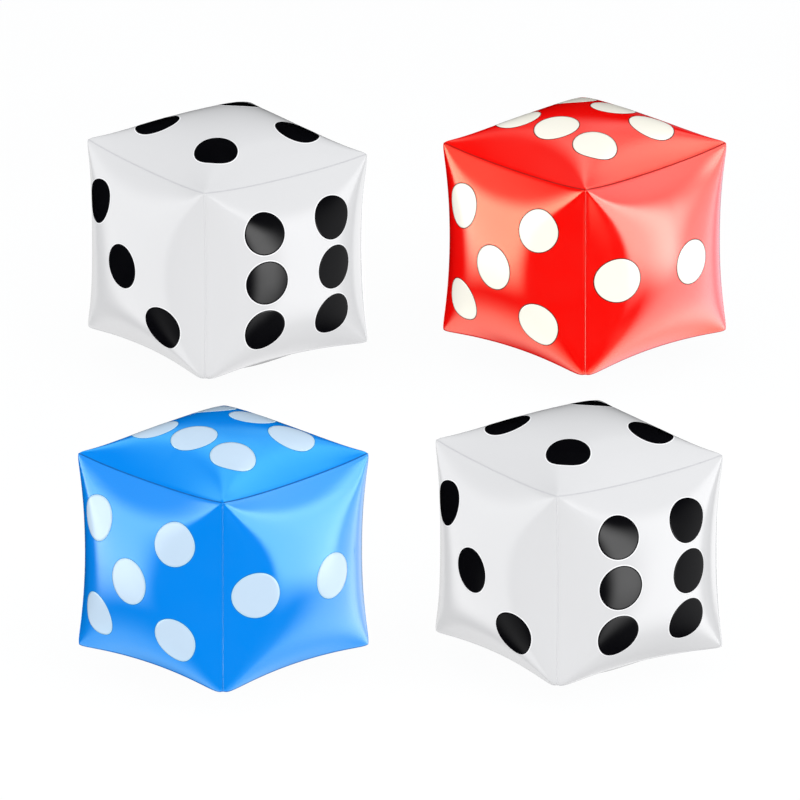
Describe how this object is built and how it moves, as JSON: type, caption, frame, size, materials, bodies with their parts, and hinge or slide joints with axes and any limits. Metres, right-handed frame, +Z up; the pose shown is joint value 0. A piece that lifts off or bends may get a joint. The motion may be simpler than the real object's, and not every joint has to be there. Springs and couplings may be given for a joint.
{
  "type": "inflatable yard dice",
  "caption": "Giant inflatable lawn dice: cube skins of bulged welded vinyl panels with round printed pips, each with a push-in air valve.",
  "frame": {"origin": "on the ground, in the middle of the set", "axes": "+Z up; +Y away from the front row of dice; +X to the right"},
  "size_m": [1.9076, 3.5286, 0.7695],
  "materials": {
    "white_vinyl": "glossy white inflated vinyl",
    "red_vinyl": "glossy red inflated vinyl",
    "blue_vinyl": "glossy blue inflated vinyl",
    "black_print": "glossy black print",
    "cream_print": "glossy cream print with a thin dark outline",
    "pale_blue_print": "glossy pale blue print",
    "valve_vinyl": "milky moulded soft vinyl",
    "flap_film": "thin clear vinyl film"
  },
  "bodies": {
    "white_a_die": {"white_a_top_panel": "white_vinyl", "white_a_bottom_panel": "white_vinyl", "white_a_front_left_panel": "white_vinyl", "white_a_front_right_panel": "white_vinyl", "white_a_back_right_panel": "white_vinyl", "white_a_back_left_panel": "white_vinyl", "white_a_printed_pips": "black_print", "white_a_valve_base": "valve_vinyl"},
    "white_a_stem": {"white_a_valve_stem": "valve_vinyl"},
    "white_a_plug": {"white_a_valve_plug": "valve_vinyl"},
    "white_a_flap": {"white_a_check_flap": "flap_film"},
    "red_die": {"red_top_panel": "red_vinyl", "red_bottom_panel": "red_vinyl", "red_front_left_panel": "red_vinyl", "red_front_right_panel": "red_vinyl", "red_back_right_panel": "red_vinyl", "red_back_left_panel": "red_vinyl", "red_printed_pips": "cream_print", "red_valve_base": "valve_vinyl"},
    "red_stem": {"red_valve_stem": "valve_vinyl"},
    "red_plug": {"red_valve_plug": "valve_vinyl"},
    "red_flap": {"red_check_flap": "flap_film"},
    "blue_die": {"blue_top_panel": "blue_vinyl", "blue_bottom_panel": "blue_vinyl", "blue_front_left_panel": "blue_vinyl", "blue_front_right_panel": "blue_vinyl", "blue_back_right_panel": "blue_vinyl", "blue_back_left_panel": "blue_vinyl", "blue_printed_pips": "pale_blue_print", "blue_valve_base": "valve_vinyl"},
    "blue_stem": {"blue_valve_stem": "valve_vinyl"},
    "blue_plug": {"blue_valve_plug": "valve_vinyl"},
    "blue_flap": {"blue_check_flap": "flap_film"},
    "white_b_die": {"white_b_top_panel": "white_vinyl", "white_b_bottom_panel": "white_vinyl", "white_b_front_left_panel": "white_vinyl", "white_b_front_right_panel": "white_vinyl", "white_b_back_right_panel": "white_vinyl", "white_b_back_left_panel": "white_vinyl", "white_b_printed_pips": "black_print", "white_b_valve_base": "valve_vinyl"},
    "white_b_stem": {"white_b_valve_stem": "valve_vinyl"},
    "white_b_plug": {"white_b_valve_plug": "valve_vinyl"},
    "white_b_flap": {"white_b_check_flap": "flap_film"}
  },
  "joints": [
    {"name": "white_a_stem_slide", "type": "slide", "parent": "white_a_die", "child": "white_a_stem", "axis": [-0.531, 0.7308, -0.4289], "range_m": [0, 0.0155]},
    {"name": "white_a_plug_swing", "type": "hinge", "parent": "white_a_stem", "child": "white_a_plug", "pos_m": [-0.73206, 1.58874, 0.19794], "axis": [0.809, 0.5878, 0], "range_deg": [0, 110]},
    {"name": "white_a_flap_swing", "type": "hinge", "parent": "white_a_stem", "child": "white_a_flap", "pos_m": [-0.71657, 1.56743, 0.20889], "axis": [-0.809, -0.5878, 0], "range_deg": [0, 60], "stiffness_Nm_per_rad": 0.0005, "springref_deg": -17.19},
    {"name": "red_lift", "type": "slide", "parent": "white_a_die", "child": "red_die", "axis": [0, 0, 1], "range_m": [0, 0.8]},
    {"name": "red_stem_slide", "type": "slide", "parent": "red_die", "child": "red_stem", "axis": [-0.6388, 0.6388, -0.4289], "range_m": [0, 0.0155]},
    {"name": "red_plug_swing", "type": "hinge", "parent": "red_stem", "child": "red_plug", "pos_m": [0.2855, 1.5885, 0.19794], "axis": [0.7071, 0.7071, 0], "range_deg": [0, 110]},
    {"name": "red_flap_swing", "type": "hinge", "parent": "red_stem", "child": "red_flap", "pos_m": [0.30413, 1.56987, 0.20889], "axis": [-0.7071, -0.7071, 0], "range_deg": [0, 60], "stiffness_Nm_per_rad": 0.0005, "springref_deg": -17.19},
    {"name": "blue_lift", "type": "slide", "parent": "white_a_die", "child": "blue_die", "axis": [0, 0, 1], "range_m": [0, 0.8]},
    {"name": "blue_stem_slide", "type": "slide", "parent": "blue_die", "child": "blue_stem", "axis": [-0.6388, 0.6388, -0.4289], "range_m": [0, 0.0155]},
    {"name": "blue_plug_swing", "type": "hinge", "parent": "blue_stem", "child": "blue_plug", "pos_m": [-0.7735, -1.0915, 0.19794], "axis": [0.7071, 0.7071, 0], "range_deg": [0, 110]},
    {"name": "blue_flap_swing", "type": "hinge", "parent": "blue_stem", "child": "blue_flap", "pos_m": [-0.75487, -1.11013, 0.20889], "axis": [-0.7071, -0.7071, 0], "range_deg": [0, 60], "stiffness_Nm_per_rad": 0.0005, "springref_deg": -17.19},
    {"name": "white_b_lift", "type": "slide", "parent": "white_a_die", "child": "white_b_die", "axis": [0, 0, 1], "range_m": [0, 0.8]},
    {"name": "white_b_stem_slide", "type": "slide", "parent": "white_b_die", "child": "white_b_stem", "axis": [-0.531, 0.7308, -0.4289], "range_m": [0, 0.0155]},
    {"name": "white_b_plug_swing", "type": "hinge", "parent": "white_b_stem", "child": "white_b_plug", "pos_m": [0.29794, -1.00726, 0.19794], "axis": [0.809, 0.5878, 0], "range_deg": [0, 110]},
    {"name": "white_b_flap_swing", "type": "hinge", "parent": "white_b_stem", "child": "white_b_flap", "pos_m": [0.31343, -1.02857, 0.20889], "axis": [-0.809, -0.5878, 0], "range_deg": [0, 60], "stiffness_Nm_per_rad": 0.0005, "springref_deg": -17.19}
  ]
}
